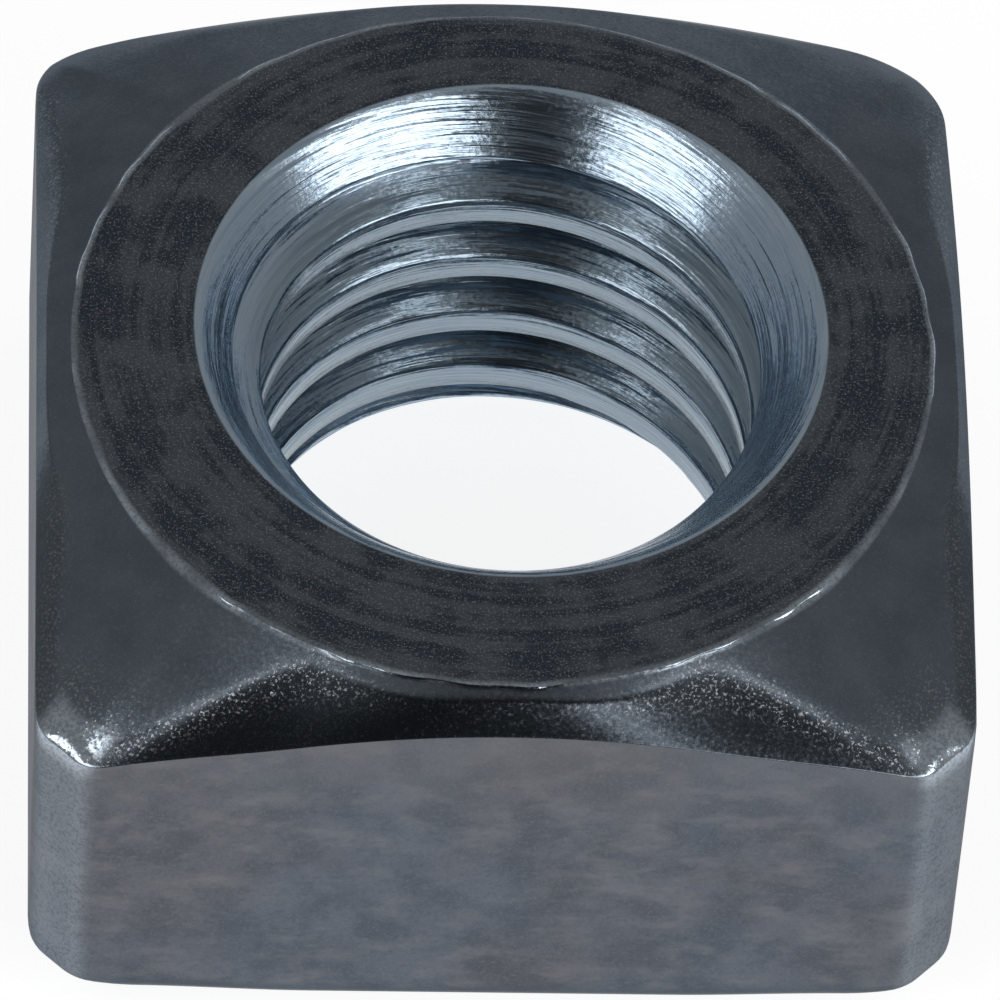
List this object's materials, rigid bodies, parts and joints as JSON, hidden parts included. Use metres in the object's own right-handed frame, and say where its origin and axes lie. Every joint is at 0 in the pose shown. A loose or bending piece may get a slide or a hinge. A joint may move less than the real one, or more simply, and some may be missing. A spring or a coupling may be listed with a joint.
{
  "type": "square nut",
  "caption": "Square nut with chamfered corners, a flat ring on top and a countersunk tapped hole, in zinc-plated steel; clamps parts on a screw and is held by its flats.",
  "frame": {"origin": "middle of the square on the bearing face", "axes": "+Z along the hole, from the bearing face to the chamfered top face; +X and +Y square to the flats"},
  "size_m": [0.0206, 0.0206, 0.011],
  "materials": {
    "zinc_plated_steel": "clear zinc plating over cold-formed steel, dark blue-grey and semi-bright, brighter in the tapped hole"
  },
  "bodies": {
    "root": {"nut_body": "zinc_plated_steel"}
  },
  "joints": []
}
